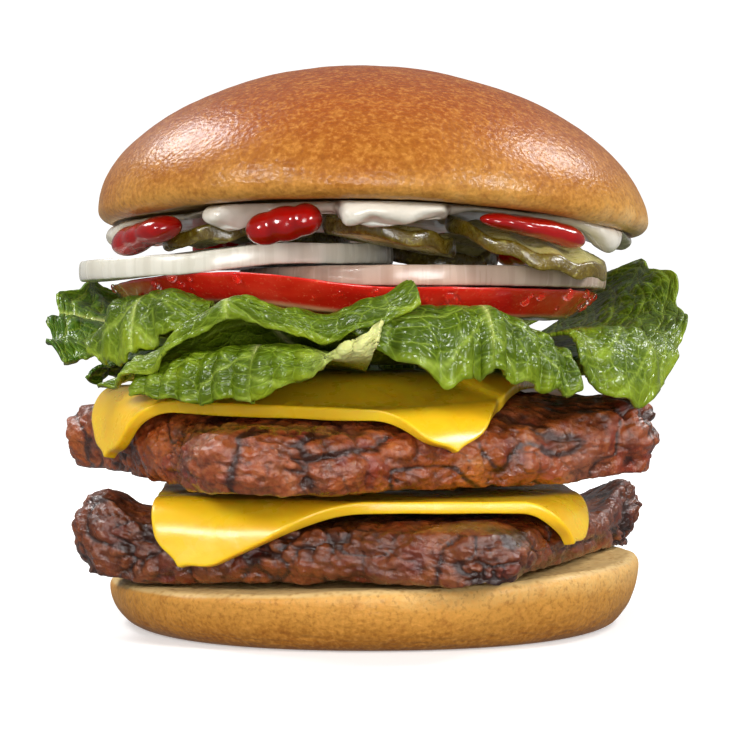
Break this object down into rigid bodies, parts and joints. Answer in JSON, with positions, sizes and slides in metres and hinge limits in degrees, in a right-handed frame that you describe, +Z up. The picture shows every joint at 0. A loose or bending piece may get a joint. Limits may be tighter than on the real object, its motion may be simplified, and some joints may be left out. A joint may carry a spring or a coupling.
{
  "type": "double cheeseburger",
  "caption": "Stacked cheeseburger in a glossy bun: square beef patties, draped cheese, lettuce, tomato, onion, pickles, mayonnaise and ketchup.",
  "frame": {"origin": "middle of the heel bun's flat base, on the surface the burger stands on", "axes": "+Z up through the stack to the crown bun; the front of the burger faces -Y and +X is to the right as seen from the front"},
  "size_m": [0.1384, 0.1292, 0.12],
  "materials": {
    "bread": "satin",
    "grilled_beef": "satin",
    "melted_cheese": "gloss",
    "lettuce": "satin",
    "tomato": "gloss",
    "onion": "gloss",
    "pickle": "satin",
    "mayonnaise": "gloss",
    "ketchup": "gloss"
  },
  "bodies": {
    "root": {"bun_heel": "bread", "patty_lower": "grilled_beef", "cheese_lower": "melted_cheese", "patty_upper": "grilled_beef", "cheese_upper": "melted_cheese", "lettuce_left": "lettuce", "lettuce_front_left": "lettuce", "lettuce_front": "lettuce", "lettuce_front_low": "lettuce", "lettuce_front_right": "lettuce", "lettuce_right": "lettuce", "lettuce_back_right": "lettuce", "lettuce_back": "lettuce", "lettuce_back_left": "lettuce", "lettuce_heart": "lettuce", "tomato_slice": "tomato", "onion_right": "onion", "onion_left": "onion", "pickle_left": "pickle", "pickle_middle": "pickle", "pickle_right": "pickle", "pickle_back_right": "pickle", "pickle_back_left": "pickle", "mayonnaise": "mayonnaise", "ketchup_left": "ketchup", "ketchup_middle": "ketchup", "ketchup_right": "ketchup", "ketchup_back_right": "ketchup", "ketchup_back_left": "ketchup", "bun_crown": "bread"}
  },
  "joints": []
}
